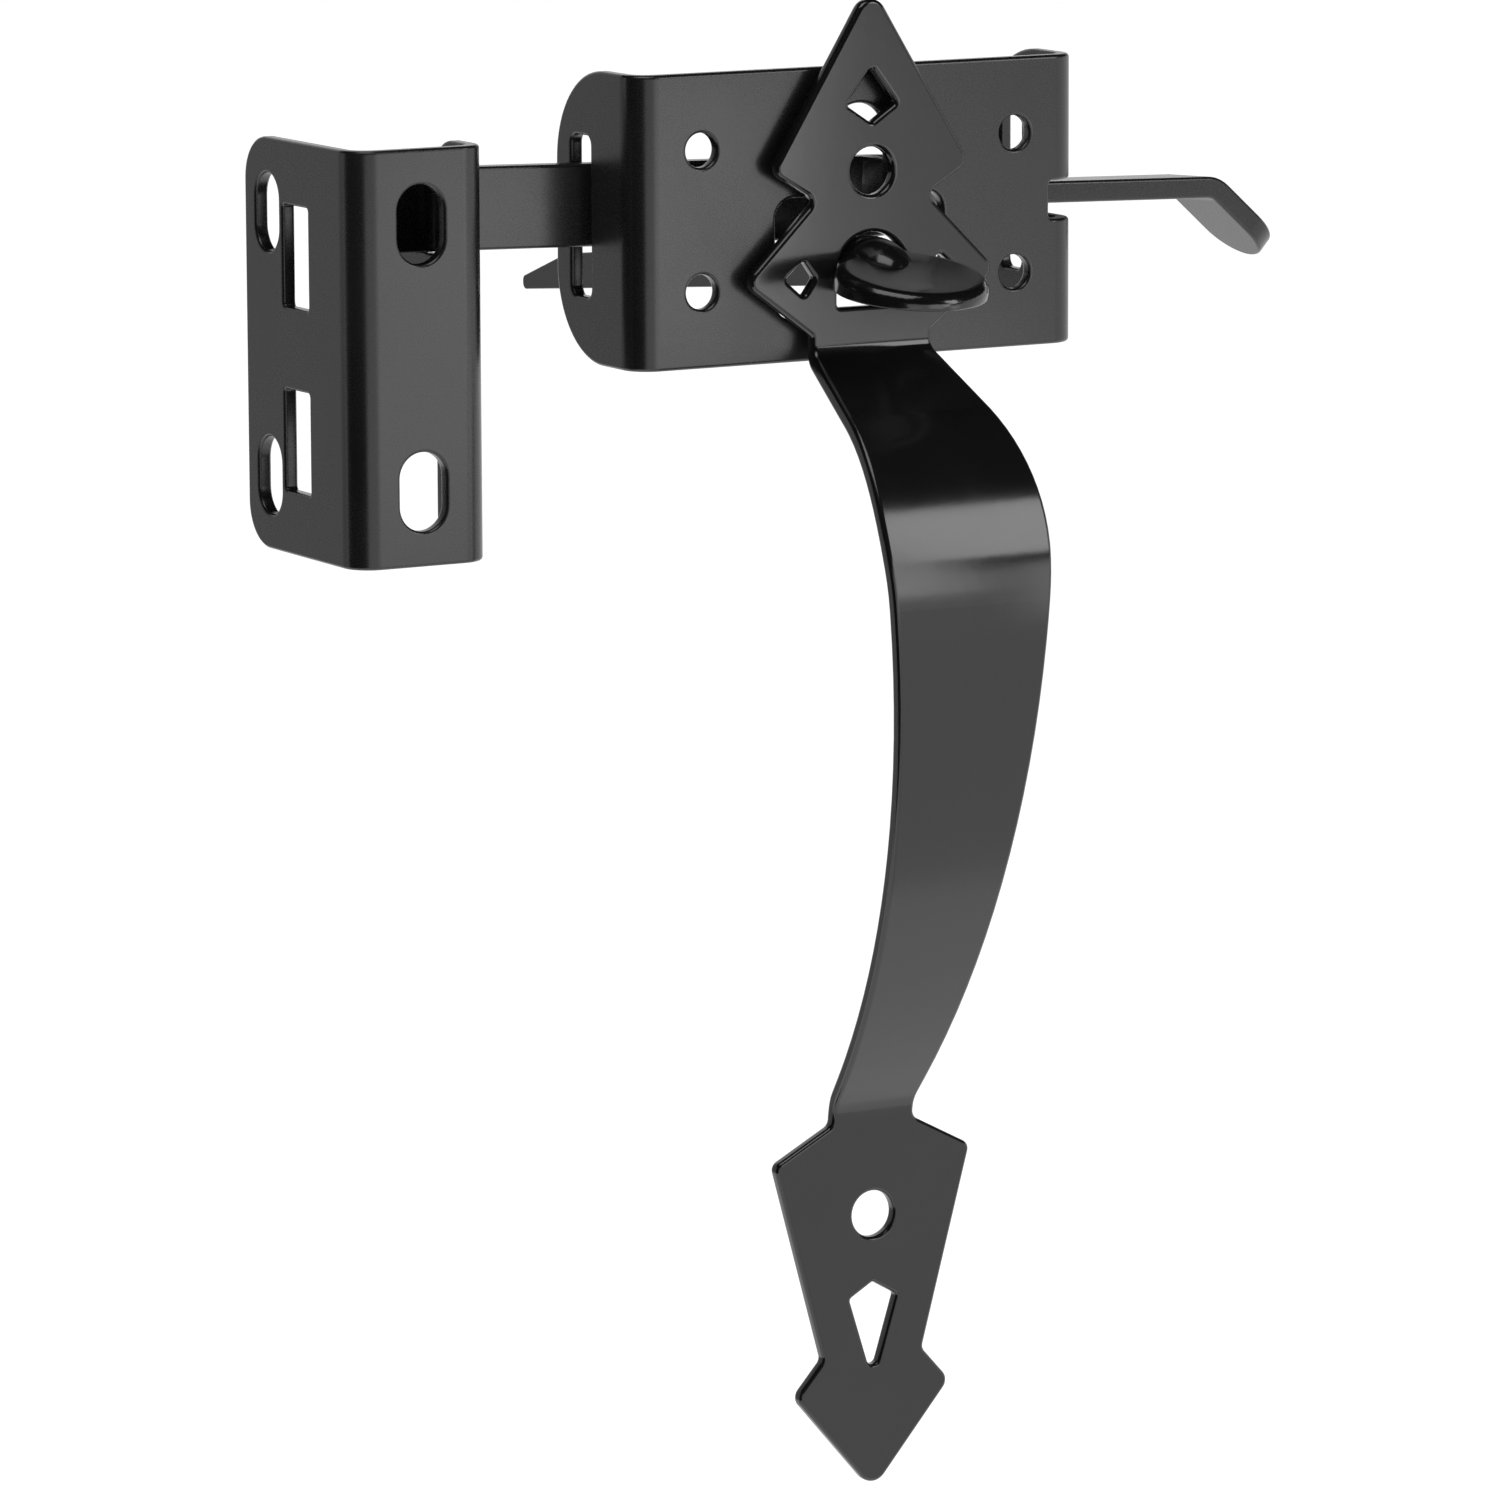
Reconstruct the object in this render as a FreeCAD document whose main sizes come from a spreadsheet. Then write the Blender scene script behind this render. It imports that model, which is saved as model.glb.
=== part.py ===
import FreeCAD, Part
import math
import os

import Sketcher

V = FreeCAD.Vector

# Thumb latch for a gate, in millimetres.
# The frame stands at the middle of the latch case's four screws, on the face that lies on the gate:
# +X to the viewer's right, +Y away from the viewer through the gate, +Z up.
# The handle stands in front of the case, the strike to its left.

doc = FreeCAD.newDocument("thumb_latch")
sheet = doc.addObject("Spreadsheet::Sheet", "Sizes")

# Driving dimensions. Every size that can be set by itself is written here once.
SIZES = {
    # latch case
    "case_width": 104.0,
    "case_height": 59.4,
    "case_depth": 33.2,
    "case_sheet": 3.0,
    "case_bend_radius": 3.0,
    "flange_corner_radius": 19.0,
    "screw_hole_diameter": 7.0,
    "screw_span_across": 73.0,
    "screw_span_up": 28.5,
    "flange_slot_height": 32.6,
    "flange_slot_side_room": 1.9,
    "flange_slot_corner": 2.0,
    "lever_slot_width": 13.2,
    "lever_slot_top": 22.0,
    "window_width": 39.0,
    "window_top": 3.5,
    "window_bottom": 21.0,
    "window_corner": 4.0,
    "notch_height": 7.8,
    "notch_reach": 7.2,
    "notch_end_room": 0.4,
    # latch bar
    "bar_height": 16.8,
    "bar_thickness": 4.5,
    "bar_setback": 22.7,
    "bar_pivot_rise": -0.5,
    "bar_tilt": 1.55,
    "bar_corner_radius": 3.0,
    "bar_end_gap": 8.0,
    "twist_length": 32.0,
    "twist_angle": 87.0,
    "twist_inset": 6.5,
    "lever_arm_length": 44.85,
    "finger_end_length": 21.3,
    "finger_end_angle": 41.0,
    "finger_bend_radius": 3.0,
    # handle
    "handle_sheet": 3.0,
    "handle_gap": 2.0,
    "handle_top": 43.3,
    "handle_length": 306.5,
    "tip_radius": 3.6,
    "tip_slope": 0.62,
    "shoulder_width": 46.0,
    "neck_width": 25.8,
    "neck_drop": 39.9,
    "hip_width": 58.6,
    "hip_drop": 56.0,
    "waist_width": 27.6,
    "waist_drop": 67.4,
    "outline_radius": 2.6,
    "neck_radius": 1.8,
    "waist_length": 2.9,
    "waist_radius": 1.0,
    "grip_width": 39.8,
    "grip_widest_drop": 25.3,
    "grip_end_width": 19.2,
    "grip_end_radius": 20.0,
    "grip_swell_radius": 90.0,
    "grip_bow_share": 0.2564,
    "grip_top_drop": 70.75,
    "grip_foot_rise": 79.4,
    "grip_top_angle": 60.9,
    "grip_foot_angle": 38.3,
    "grip_top_radius_share": 0.27,
    "grip_foot_radius_share": 1.07,
    "grip_bend_radius": 3.0,
    "grip_foot_bend_radius": 8.0,
    "foot_shoulder_width": 46.4,
    "foot_shoulder_rise": 69.0,
    "foot_flare": 7.2,
    "foot_shoulder_radius": 2.0,
    "foot_waist_width": 23.5,
    "foot_waist_rise": 27.0,
    "foot_arrow_width": 36.7,
    "foot_arrow_rise": 19.6,
    "foot_tip_radius": 3.6,
    "handle_hole_diameter": 9.7,
    "handle_hole_drop": 34.6,
    "handle_hole_span": 215.2,
    "top_kite_width": 11.6,
    "top_kite_drop": 13.6,
    "top_kite_short": 3.8,
    "top_kite_long": 7.5,
    "foot_kite_width": 11.0,
    "foot_kite_rise": 39.2,
    "foot_kite_short": 3.2,
    "foot_kite_long": 17.6,
    "side_kite_width": 7.3,
    "side_kite_offset": 15.8,
    "side_kite_short": 2.6,
    "side_kite_long": 4.3,
    "side_kite_drop": 0.7,
    "kite_corner_radius": 0.8,
    "foot_kite_radius": 1.4,
    "arch_width": 16.0,
    "arch_top_drop": 46.9,
    "arch_height": 15.0,
    "arch_corner_radius": 0.8,
    # thumb lever
    "press_width": 31.4,
    "press_length": 31.2,
    "press_gap": 0.5,
    "press_sheet": 2.6,
    "press_rim_height": 5.7,
    "press_slope": 12.4,
    "press_rim_taper": 4.7,
    "press_edge_radius": 2.6,
    "press_inner_radius": 1.6,
    "press_dish_radius": 140.0,
    "press_dish_depth": 0.6,
    "lever_pivot_rise": 1.1,
    "lever_side_room": 0.35,
    "lever_neck_top": 4.1,
    "lever_neck_bottom": 5.0,
    "lever_neck_radius": 4.8,
    "lever_neck_reach": 5.5,
    "blade_thickness": 4.0,
    "blade_height": 9.3,
    "blade_length": 146.5,
    "blade_slope": 6.65,
    "blade_taper": 10.0,
    "blade_nose_length": 19.0,
    "blade_nose_height": 2.6,
    "blade_nose_radius": 1.2,
    "rest_gap": 0.3,
    # strike
    "strike_width": 30.5,
    "strike_height": 82.9,
    "strike_depth": 48.0,
    "strike_sheet": 3.0,
    "strike_bend_radius": 3.0,
    "strike_corner_radius": 9.0,
    "strike_short_corner_radius": 7.0,
    "strike_gap": 32.3,
    "strike_drop": 23.65,
    "strike_slot_width": 10.3,
    "strike_slot_length": 15.8,
    "strike_slot_span": 53.0,
    "strike_slot_setback": 38.0,
    "strike_window_width": 11.2,
    "strike_window_height": 20.4,
    "strike_window_span": 36.9,
    "strike_window_setback": 25.5,
    "catch_room": 1.8,
    "catch_hook_height": 5.0,
    "catch_hook_tip": 1.6,
    "catch_reach": 14.0,
    "catch_ramp_drop": 14.0,
    "catch_root_drop": 33.0,
    "catch_radius": 0.9,
}

# Limits for comparing directions and lengths, and the number of steps in a twist and in a search.
HAIR = 0.01
NO_LENGTH = 1e-6
NO_ANGLE = 1e-4
ALONG = 0.999
TWIST_STEPS = 8
SEARCH_STEPS = 20
QUARTER_TURN = 90.0

for row, (name, value) in enumerate(SIZES.items(), start=1):
    sheet.set(f"A{row}", name)
    sheet.set(f"B{row}", str(value))
    sheet.setAlias(f"B{row}", name)
doc.recompute()


def size(name):
    """The value of one named size, read from the sheet."""
    return float(sheet.get(name))


def place_wire(points):
    """Corners as (x, y, radius): the same corners with unit directions to their neighbours."""
    corners = []
    count = len(points)
    for index, (x, y, radius) in enumerate(points):
        here = V(x, y, 0)
        before = V(points[index - 1][0], points[index - 1][1], 0)
        after = V(points[(index + 1) % count][0], points[(index + 1) % count][1], 0)
        corners.append((here, (before - here).normalize(), (after - here).normalize(), radius))
    return corners


def outline_edges(points):
    """Straight sides and round corners of a closed outline whose corners are (x, y, radius)."""
    ends = []
    arcs = []
    for here, back, ahead, radius in place_wire(points):
        half = back.getAngle(ahead) / 2
        if radius <= 0 or half > math.pi / 2 - NO_ANGLE:
            ends.append((here, here))
            arcs.append(None)
            continue
        reach = radius / math.tan(half)
        middle = (back + ahead).normalize()
        nearest = here + middle * (radius / math.sin(half) - radius)
        ends.append((here + back * reach, here + ahead * reach))
        arcs.append(Part.Arc(here + back * reach, nearest, here + ahead * reach))
    edges = []
    for index, (start, finish) in enumerate(ends):
        if arcs[index] is not None:
            edges.append(arcs[index])
        following = ends[(index + 1) % len(ends)][0]
        if (following - finish).Length > NO_LENGTH:
            edges.append(Part.LineSegment(finish, following))
    return edges


def outline_face(points, plane):
    """A flat face of an outline, drawn in the named plane of the frame."""
    wire = Part.Wire([edge.toShape() for edge in outline_edges(points)])
    turned = {
        "XY": FreeCAD.Rotation(),
        "XZ": FreeCAD.Rotation(V(1, 0, 0), QUARTER_TURN),
        "YZ": FreeCAD.Rotation(V(1, 1, 1), 120),
    }
    wire.Placement = FreeCAD.Placement(V(), turned[plane])
    return Part.Face(wire)


def prism(points, plane, start, depth):
    """A solid from an outline: drawn in a plane, and run from start by depth along the third axis."""
    along = {"XY": V(0, 0, 1), "XZ": V(0, 1, 0), "YZ": V(1, 0, 0)}[plane]
    face = outline_face(points, plane)
    face.translate(along * start)
    return face.extrude(along * depth)


def rectangle(left, right, low, high, radius=0.0):
    """Corners of a rectangle."""
    return [(left, low, radius), (right, low, radius), (right, high, radius), (left, high, radius)]


def origin_plane(body, role):
    """One of the body's own origin planes."""
    return next(item for item in body.Origin.OriginFeatures if item.Role == role)


def new_sketch(body, name, role, outlines=(), circles=()):
    """A sketch on an origin plane of the body, with closed outlines and circles (x, y, alias)."""
    sketch = body.newObject("Sketcher::SketchObject", name)
    sketch.AttachmentSupport = (origin_plane(body, role), [""])
    sketch.MapMode = "FlatFace"
    for points in outlines:
        for edge in outline_edges(points):
            sketch.addGeometry(edge, False)
    for x, y, alias in circles:
        circle = sketch.addGeometry(Part.Circle(V(x, y, 0), V(0, 0, 1), size(alias) / 2), False)
        bound = sketch.addConstraint(Sketcher.Constraint("Diameter", circle, size(alias)))
        sketch.setExpression(f"Constraints[{bound}]", f"Sizes.{alias}")
    return sketch


def pad(body, sketch, name, length):
    """A pad both ways from its sketch, with its whole length bound to the sheet."""
    feature = body.newObject("PartDesign::Pad", name)
    feature.Profile = sketch
    feature.Midplane = True
    feature.setExpression("Length", length)
    doc.recompute()
    return feature


def pocket_through(body, sketch, name):
    """A pocket that runs through the whole body, both ways from its sketch."""
    before = body.Shape.Volume
    feature = body.newObject("PartDesign::Pocket", name)
    feature.Profile = sketch
    feature.Type = "ThroughAll"
    feature.Midplane = True
    doc.recompute()
    if body.Shape.Volume >= before:
        raise RuntimeError(f"{name} cuts nothing")
    return feature


def pocket_deep(body, sketch, name, length):
    """A pocket of a bound length, both ways from its sketch."""
    before = body.Shape.Volume
    feature = body.newObject("PartDesign::Pocket", name)
    feature.Profile = sketch
    feature.Midplane = True
    feature.setExpression("Length", length)
    doc.recompute()
    if body.Shape.Volume >= before:
        raise RuntimeError(f"{name} cuts nothing")
    return feature


def round_edges(body, name, radius, chosen):
    """A fillet on the edges of the body's tip for which chosen(edge) is true."""
    tip = body.Tip
    names = [f"Edge{index}" for index, edge in enumerate(tip.Shape.Edges, start=1) if chosen(edge)]
    feature = body.newObject("PartDesign::Fillet", name)
    feature.Base = (tip, names)
    feature.setExpression("Radius", radius)
    doc.recompute()
    return feature


def runs_along(edge, direction):
    """Whether a straight edge runs along a direction."""
    if len(edge.Vertexes) < 2 or edge.Curve.TypeId != "Part::GeomLine":
        return False
    return abs(edge.Curve.Direction.dot(direction)) > ALONG


def made_feature(name, shape):
    """A document object that carries a shape made here."""
    feature = doc.addObject("Part::Feature", name)
    feature.Label = name
    feature.Shape = shape.removeSplitter()
    return feature


def new_body(name):
    """A body whose label names its file."""
    body = doc.addObject("PartDesign::Body", name)
    body.Label = name
    return body


# Latch case: a channel folded from one sheet, its face on the gate and its flanges pointing away.
def make_latch_case():
    body = new_body("latch_case")
    half = size("case_width") / 2
    wall = size("case_sheet")
    depth = size("case_depth")
    outer = size("case_bend_radius") + wall
    inner = size("case_bend_radius")
    channel = [
        (-half, depth, 0), (-half, 0, outer), (half, 0, outer), (half, depth, 0),
        (half - wall, depth, 0), (half - wall, wall, inner), (wall - half, wall, inner), (wall - half, depth, 0),
    ]
    pad(body, new_sketch(body, "CaseChannel", "XY_Plane", [channel]), "CaseFold", "Sizes.case_height")
    round_edges(
        body, "FlangeCorners", "Sizes.flange_corner_radius",
        lambda edge: runs_along(edge, V(1, 0, 0)) and edge.CenterOfMass.y > depth - HAIR,
    )

    across = size("screw_span_across") / 2
    up = size("screw_span_up") / 2
    screws = [(x, z, "screw_hole_diameter") for x in (-across, across) for z in (-up, up)]
    pocket_through(body, new_sketch(body, "ScrewHoles", "XZ_Plane", circles=screws), "ScrewHolesCut")

    slot = size("lever_slot_width") / 2
    window = size("window_width") / 2
    low = -size("window_bottom")
    ledge = size("window_top")
    high = size("lever_slot_top")
    corner = size("window_corner")
    opening = [
        (-window, low, corner), (window, low, corner), (window, ledge, corner), (slot, ledge, 0),
        (slot, high, slot - HAIR), (-slot, high, slot - HAIR), (-slot, ledge, 0), (-window, ledge, corner),
    ]
    pocket_through(body, new_sketch(body, "LeverOpening", "XZ_Plane", [opening]), "LeverOpeningCut")

    middle = size("bar_setback")
    room = size("bar_thickness") / 2 + size("flange_slot_side_room")
    tall = size("flange_slot_height") / 2
    flange_slot = rectangle(middle - room, middle + room, -tall, tall, size("flange_slot_corner"))
    pocket_through(body, new_sketch(body, "FlangeSlots", "YZ_Plane", [flange_slot]), "FlangeSlotsCut")

    notch_end = middle + size("bar_height") / 2 + size("notch_end_room")
    notch = rectangle(half - size("notch_reach"), half + wall, -wall, notch_end)
    pocket_deep(body, new_sketch(body, "CrossSlot", "XY_Plane", [notch]), "CrossSlotCut", "Sizes.notch_height")
    return body


# Strike: a channel with a deep flange for the post and a short flange that carries the catch.
def make_strike():
    body = new_body("strike")
    half = size("strike_width") / 2
    wall = size("strike_sheet")
    deep = size("strike_depth")
    outer = size("strike_bend_radius") + wall
    inner = size("strike_bend_radius")
    short = size("bar_setback") - size("bar_thickness") / 2 - size("catch_room")
    channel = [
        (-half, deep, 0), (-half, 0, outer), (half, 0, outer), (half, short, 0),
        (half - wall, short, 0), (half - wall, wall, inner), (wall - half, wall, inner), (wall - half, deep, 0),
    ]
    pad(body, new_sketch(body, "StrikeChannel", "XY_Plane", [channel]), "StrikeFold", "Sizes.strike_height")
    round_edges(
        body, "DeepCorners", "Sizes.strike_corner_radius",
        lambda edge: runs_along(edge, V(1, 0, 0)) and edge.CenterOfMass.y > deep - HAIR,
    )
    round_edges(
        body, "ShortCorners", "Sizes.strike_short_corner_radius",
        lambda edge: runs_along(edge, V(1, 0, 0)) and abs(edge.CenterOfMass.y - short) < HAIR,
    )

    width = size("strike_slot_width") / 2
    long = size("strike_slot_length") / 2
    middles = [-size("strike_slot_span") / 2, size("strike_slot_span") / 2]
    face_slots = [rectangle(-width, width, z - long, z + long, width - HAIR) for z in middles]
    cut = new_sketch(body, "FaceSlots", "XZ_Plane", face_slots)
    pocket_through(body, cut, "FaceSlotsCut")

    back = size("strike_slot_setback")
    flange_slots = [rectangle(back - width, back + width, z - long, z + long, width - HAIR) for z in middles]
    gap = size("strike_window_width") / 2
    tall = size("strike_window_height") / 2
    centre = size("strike_window_setback")
    windows = [
        rectangle(centre - gap, centre + gap, z - tall, z + tall)
        for z in (-size("strike_window_span") / 2, size("strike_window_span") / 2)
    ]
    pocket_through(body, new_sketch(body, "FlangeHoles", "YZ_Plane", flange_slots + windows), "FlangeHolesCut")

    catch = new_sketch(body, "Catch", "YZ_Plane", [catch_outline(short)])
    catch.AttachmentOffset = FreeCAD.Placement(V(0, 0, half - wall / 2), FreeCAD.Rotation())
    pad(body, catch, "CatchPad", "Sizes.strike_sheet")
    body.setExpression("Placement.Base.x", "-Sizes.case_width / 2 - Sizes.strike_gap - Sizes.strike_width / 2")
    body.setExpression("Placement.Base.z", "-Sizes.strike_drop")
    return body


def bar_underside(x):
    """Height of the upright part's lower edge at a place across the latch."""
    tilt = math.radians(size("bar_tilt"))
    pivot = size("case_width") / 2 - size("case_sheet") / 2
    return size("bar_pivot_rise") + (pivot - x) * math.tan(tilt) - size("bar_height") / 2 / math.cos(tilt)


def catch_floor():
    """Height in the strike's own frame of the catch's floor, just under the resting bar."""
    strike_right = -size("case_width") / 2 - size("strike_gap")
    return bar_underside(strike_right) - size("rest_gap") + size("strike_drop")


def catch_outline(flange_edge):
    """The catch in the strike's own frame: a floor for the bar, a hook behind it and a ramp outside."""
    floor = catch_floor()
    radius = size("catch_radius")
    hook = flange_edge + size("bar_thickness") + 2 * size("catch_room")
    tip = hook + size("catch_hook_tip")
    rear = hook + size("catch_reach")
    bend = size("strike_bend_radius") + size("strike_sheet")
    return [
        (bend, floor, 0), (hook, floor, radius),
        (hook, floor + size("catch_hook_height"), radius / 2), (tip, floor + size("catch_hook_height"), radius),
        (rear, floor - size("catch_ramp_drop") / 2, radius), (rear, floor - size("catch_ramp_drop"), radius),
        (flange_edge, floor - size("catch_root_drop"), 0), (bend, floor - size("catch_root_drop"), 0),
    ]


# Latch bar: upright at the left, a quarter turn inside the case, flat at the right, finger end bent down.
# Its own frame has its origin where it rocks in the right flange, and X along the bar.
def bar_section(x, turn):
    """The bar's four-sided section at a place along it, turned from upright by an angle."""
    tall = size("bar_height") / 2
    thick = size("bar_thickness") / 2
    corners = [V(0, -thick, -tall), V(0, thick, -tall), V(0, thick, tall), V(0, -thick, tall)]
    wire = Part.makePolygon(corners + corners[:1])
    wire.rotate(V(), V(1, 0, 0), turn)
    wire.translate(V(x, 0, 0))
    return wire


def make_latch_bar():
    tall = size("bar_height") / 2
    thick = size("bar_thickness") / 2
    pivot = size("case_width") / 2 - size("case_sheet") / 2
    strike_inside = size("case_width") / 2 + size("strike_gap") + size("strike_width") - size("strike_sheet")
    left = -(pivot + strike_inside - size("bar_end_gap"))
    flat_start = -size("twist_inset")
    twist_start = flat_start - size("twist_length")

    corner = size("bar_corner_radius")
    upright = prism(
        [(left, -tall, corner), (twist_start, -tall, 0), (twist_start, tall, 0), (left, tall, corner)],
        "XZ", -thick, 2 * thick,
    )
    sections = [
        bar_section(twist_start + size("twist_length") * step / TWIST_STEPS, size("twist_angle") * step / TWIST_STEPS)
        for step in range(TWIST_STEPS + 1)
    ]
    twist = Part.makeLoft(sections, True, False)

    bend_start = size("lever_arm_length") - bend_setback()
    flat = Part.makeBox(bend_start - flat_start, 2 * tall, 2 * thick, V(flat_start, -tall, -thick))
    finger = finger_end(bend_start, tall, thick)
    for piece in (flat, finger):
        piece.rotate(V(), V(1, 0, 0), size("twist_angle") - QUARTER_TURN)
    shape = upright.fuse([twist, flat, finger])
    bar = made_feature("latch_bar", shape)
    tilt = FreeCAD.Rotation(V(0, 1, 0), size("bar_tilt"))
    bar.Placement = FreeCAD.Placement(V(pivot, size("bar_setback"), size("bar_pivot_rise")), tilt)
    return bar


def bend_setback():
    """How far the round bend starts before the corner that its upper sides would meet in."""
    outer = size("finger_bend_radius") + size("bar_thickness")
    return outer * math.tan(math.radians(size("finger_end_angle")) / 2)


def finger_end(bend_start, tall, thick):
    """The bent, round-ended finger piece, from where the bend starts."""
    centre = V(bend_start, 0, -thick - size("finger_bend_radius"))
    angle = size("finger_end_angle")
    section = Part.Face(Part.makePolygon([
        V(bend_start, -tall, -thick), V(bend_start, tall, -thick), V(bend_start, tall, thick),
        V(bend_start, -tall, thick), V(bend_start, -tall, -thick),
    ]))
    bend = section.revolve(centre, V(0, 1, 0), angle)
    reach = size("finger_end_length") - bend_setback()
    end = prism(
        [(bend_start, -tall, 0), (bend_start + reach, -tall, tall - HAIR),
         (bend_start + reach, tall, tall - HAIR), (bend_start, tall, 0)],
        "XY", -thick, 2 * thick,
    )
    end.rotate(centre, V(0, 1, 0), angle)
    return bend.fuse(end)


# Handle: one formed strap, seen from the side as a bowed line of even thickness, cut to its outline.
def grip_line():
    """The strap's front line from the side, as (forward, up, radius), from top to foot."""
    top = size("handle_top")
    foot = top - size("handle_length")
    start = top - size("grip_top_drop")
    end = foot + size("grip_foot_rise")
    span = start - end
    bow = size("grip_bow_share") * span
    upper = start - bow / math.tan(math.radians(size("grip_top_angle")))
    lower = end + bow / math.tan(math.radians(size("grip_foot_angle")))
    inner = size("grip_bend_radius")
    return [
        (0, top, 0), (0, start, inner), (bow, upper, -size("grip_top_radius_share") * span),
        (bow, lower, -size("grip_foot_radius_share") * span), (0, end, size("grip_foot_bend_radius")), (0, foot, 0),
    ]


def grip_profile():
    """The closed side outline: the front line and the same line one sheet thickness behind it."""
    sheet_size = size("handle_sheet")
    front = [(-sheet_size - forward, up, abs(radius)) for forward, up, radius in grip_line()]
    lines = []
    for start, end in zip(front[:-1], front[1:]):
        along = V(end[0] - start[0], end[1] - start[1], 0).normalize()
        lines.append((V(start[0], start[1], 0) + V(-along.y, along.x, 0) * sheet_size, along))
    rear = [(0, front[0][1], 0)]
    for index in range(1, len(front) - 1):
        (near, first), (far, second) = lines[index - 1], lines[index]
        cross = first.x * second.y - first.y * second.x
        offset = far - near
        meet = near + first * ((offset.x * second.y - offset.y * second.x) / cross)
        change = sheet_size if grip_line()[index][2] > 0 else -sheet_size
        rear.append((meet.x, meet.y, front[index][2] + change))
    rear.append((0, front[-1][1], 0))
    return front + rear[::-1]


def handle_half_outline():
    """Corners of the strap's right edge from the front, as (x, z, radius), from the tip to the foot."""
    top = size("handle_top")
    foot = top - size("handle_length")
    soft = size("outline_radius")
    slope = size("tip_slope")
    apex_rise = size("tip_radius") * (math.sqrt(1 + 1 / slope ** 2) - 1)
    apex = top + apex_rise
    shoulder = size("shoulder_width") / 2
    waist = top - size("waist_drop") - size("waist_length")
    flare = foot + size("foot_shoulder_rise") + size("foot_flare")
    arrow = size("foot_arrow_width") / 2
    arrow_up = size("foot_arrow_rise")
    tip = size("foot_tip_radius")
    foot_apex = foot - arrow_tip_excess(arrow, arrow_up, tip)
    return [
        (0, apex, size("tip_radius")),
        (shoulder, apex - shoulder / slope, soft),
        (size("neck_width") / 2, top - size("neck_drop"), size("neck_radius")),
        (size("hip_width") / 2, top - size("hip_drop"), soft),
        (size("waist_width") / 2, top - size("waist_drop"), size("waist_radius")),
        (size("waist_width") / 2, waist, size("waist_radius")),
        (size("grip_width") / 2, waist - size("grip_widest_drop"), size("grip_swell_radius")),
        (size("grip_end_width") / 2, foot + size("grip_foot_rise"), size("grip_end_radius")),
        (size("grip_end_width") / 2, flare, size("foot_shoulder_radius")),
        (size("foot_shoulder_width") / 2, foot + size("foot_shoulder_rise"), size("foot_shoulder_radius")),
        (size("foot_waist_width") / 2, foot + size("foot_waist_rise"), size("neck_radius")),
        (arrow, foot + arrow_up, soft),
        (0, foot_apex, tip),
    ]


def arrow_tip_excess(half, rise, radius):
    """How far the sharp point of the arrow would reach below its round end."""
    excess = 0.0
    for _ in range(SEARCH_STEPS):
        excess = radius * (math.hypot(half, rise + excess) / half - 1)
    return excess


def kite(z, across, first, second, low_radius):
    """A kite with its long way up: half width, then its reach below and above its widest place."""
    radius = size("kite_corner_radius")
    return [(0, z - first, low_radius), (across, z, radius), (0, z + second, radius), (-across, z, radius)]


def side_kite(side):
    """The small kite beside the arch, lying on its side with its point outward."""
    radius = size("kite_corner_radius")
    x = side * size("side_kite_offset")
    z = arch_middle() - size("side_kite_drop")
    half = size("side_kite_width") / 2
    return [
        (x, z - half, radius), (x + side * size("side_kite_long"), z, radius),
        (x, z + half, radius), (x - side * size("side_kite_short"), z, radius),
    ]


def arch_middle():
    """Height of the middle of the arched opening."""
    return size("handle_top") - size("arch_top_drop") - size("arch_width") / 2


def make_handle():
    body = new_body("handle")
    widest = 2 * size("hip_width")
    profile = new_sketch(body, "GripSide", "YZ_Plane", [grip_profile()])
    band = body.newObject("PartDesign::Pad", "GripBand")
    band.Profile = profile
    band.Midplane = True
    band.setExpression("Length", "2 * Sizes.hip_width")
    doc.recompute()

    half = handle_half_outline()
    mirrored = [(-x, z, radius) for x, z, radius in half[1:-1]]
    top = size("handle_top")
    foot = top - size("handle_length")
    around = rectangle(-widest, widest, foot - widest, top + widest)
    outline = new_sketch(body, "HandleOutline", "XZ_Plane", [around, half + mirrored[::-1]])
    pocket_through(body, outline, "HandleOutlineCut")

    arch = size("arch_width") / 2
    arch_top = top - size("arch_top_drop")
    low = arch_top - size("arch_height")
    corner = size("arch_corner_radius")
    arched = [
        (-arch, low, corner), (arch, low, corner), (arch, arch_top, arch - HAIR), (-arch, arch_top, arch - HAIR),
    ]
    holes = [
        arched,
        kite(top - size("top_kite_drop") - size("top_kite_long"), size("top_kite_width") / 2,
             size("top_kite_short"), size("top_kite_long"), size("kite_corner_radius")),
        kite(foot + size("foot_kite_rise"), size("foot_kite_width") / 2,
             size("foot_kite_long"), size("foot_kite_short"), size("foot_kite_radius")),
        side_kite(-1),
        side_kite(1),
    ]
    upper = top - size("handle_hole_drop")
    rounds = [(0, z, "handle_hole_diameter") for z in (upper, upper - size("handle_hole_span"))]
    cuts = new_sketch(body, "HandleHoles", "XZ_Plane", holes, rounds)
    pocket_through(body, cuts, "HandleHolesCut")
    body.setExpression("Placement.Base.y", "-Sizes.handle_gap")
    return body


# Thumb lever: the oval press with its turned-down rim, a neck through the arch and the long blade.
# Its own frame has its origin where it rocks in the arch, in the middle of the handle's sheet.
def oval_stub(inset, low, high):
    """An upright oval block around the press's middle, its side set in by a distance."""
    across = size("press_width") / 2 - inset
    along = size("press_length") / 2 - inset
    oval = Part.Ellipse(V(), max(along, across), min(along, across)).toShape()
    face = Part.Face(Part.Wire(oval))
    if along > across:
        face.rotate(V(), V(0, 0, 1), QUARTER_TURN)
    face.translate(V(0, 0, low))
    return face.extrude(V(0, 0, high - low))


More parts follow.
